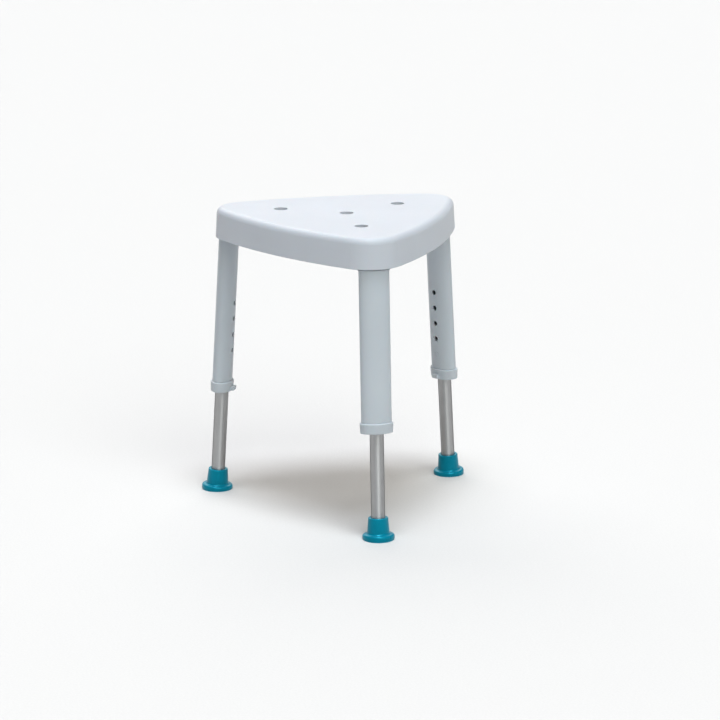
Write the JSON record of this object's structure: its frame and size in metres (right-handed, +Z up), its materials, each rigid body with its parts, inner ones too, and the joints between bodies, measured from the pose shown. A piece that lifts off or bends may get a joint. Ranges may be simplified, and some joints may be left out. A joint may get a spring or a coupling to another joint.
{
  "type": "height-adjustable shower stool",
  "caption": "Backless shower seat: rounded triangular moulded seat with drain holes on splayed oval legs whose tubes telescope on snap buttons and stand on rubber feet.",
  "frame": {"origin": "middle of the footprint's bounding box at floor level; the stool's upright axis of threefold symmetry stands 57.1 mm further along +Y", "axes": "+Z up from the floor; -Y towards the front leg; the other two legs stand at 30 and 150 degrees from +X about the stool's upright axis"},
  "size_m": [0.504, 0.4588, 0.5418],
  "materials": {
    "seat_plastic": "cool white moulded polypropylene, fine satin texture",
    "leg_plastic": "pale bluish-white moulded plastic, fine satin texture",
    "collar_plastic": "pale bluish-white moulded plastic, satin",
    "guide_plastic": "pale bluish-white moulded plastic, low-friction",
    "button_plastic": "pale bluish-white moulded plastic, satin",
    "anodised_tube": "satin natural anodised, drawn along its length",
    "ferrule_rubber": "teal moulded rubber, soft sheen",
    "stainless_steel": "plain stainless steel"
  },
  "bodies": {
    "stool_frame": {"seat": "seat_plastic", "leg_screws": "stainless_steel", "outer_leg_front": "leg_plastic", "collar_front": "collar_plastic", "outer_leg_right": "leg_plastic", "collar_right": "collar_plastic", "outer_leg_left": "leg_plastic", "collar_left": "collar_plastic"},
    "inner_leg_front": {"inner_tube_front": "anodised_tube", "tube_guide_front": "guide_plastic", "button_spring_front": "stainless_steel", "ferrule_front": "ferrule_rubber", "ferrule_washer_front": "stainless_steel"},
    "button_front": {"snap_button_front": "button_plastic"},
    "inner_leg_right": {"inner_tube_right": "anodised_tube", "tube_guide_right": "guide_plastic", "button_spring_right": "stainless_steel", "ferrule_right": "ferrule_rubber", "ferrule_washer_right": "stainless_steel"},
    "button_right": {"snap_button_right": "button_plastic"},
    "inner_leg_left": {"inner_tube_left": "anodised_tube", "tube_guide_left": "guide_plastic", "button_spring_left": "stainless_steel", "ferrule_left": "ferrule_rubber", "ferrule_washer_left": "stainless_steel"},
    "button_left": {"snap_button_left": "button_plastic"}
  },
  "joints": [
    {"name": "leg_slide_front", "type": "slide", "parent": "stool_frame", "child": "inner_leg_front", "axis": [0, 0.0634, 0.998], "range_m": [0, 0.12], "deforming": ["snap_button_front"]},
    {"name": "button_press_front", "type": "slide", "parent": "inner_leg_front", "child": "button_front", "axis": [0, -0.998, 0.0634], "range_m": [0, 0.004], "stiffness_N_per_m": 3000, "springref_m": -0.002, "deforming": ["button_spring_front"]},
    {"name": "leg_slide_right", "type": "slide", "parent": "stool_frame", "child": "inner_leg_right", "axis": [-0.0549, -0.0317, 0.998], "range_m": [0, 0.12], "deforming": ["snap_button_right"]},
    {"name": "button_press_right", "type": "slide", "parent": "inner_leg_right", "child": "button_right", "axis": [0.8643, 0.499, 0.0634], "range_m": [0, 0.004], "stiffness_N_per_m": 3000, "springref_m": -0.002, "deforming": ["button_spring_right"]},
    {"name": "leg_slide_left", "type": "slide", "parent": "stool_frame", "child": "inner_leg_left", "axis": [0.0549, -0.0317, 0.998], "range_m": [0, 0.12], "deforming": ["snap_button_left"]},
    {"name": "button_press_left", "type": "slide", "parent": "inner_leg_left", "child": "button_left", "axis": [-0.8643, 0.499, 0.0634], "range_m": [0, 0.004], "stiffness_N_per_m": 3000, "springref_m": -0.002, "deforming": ["button_spring_left"]}
  ]
}
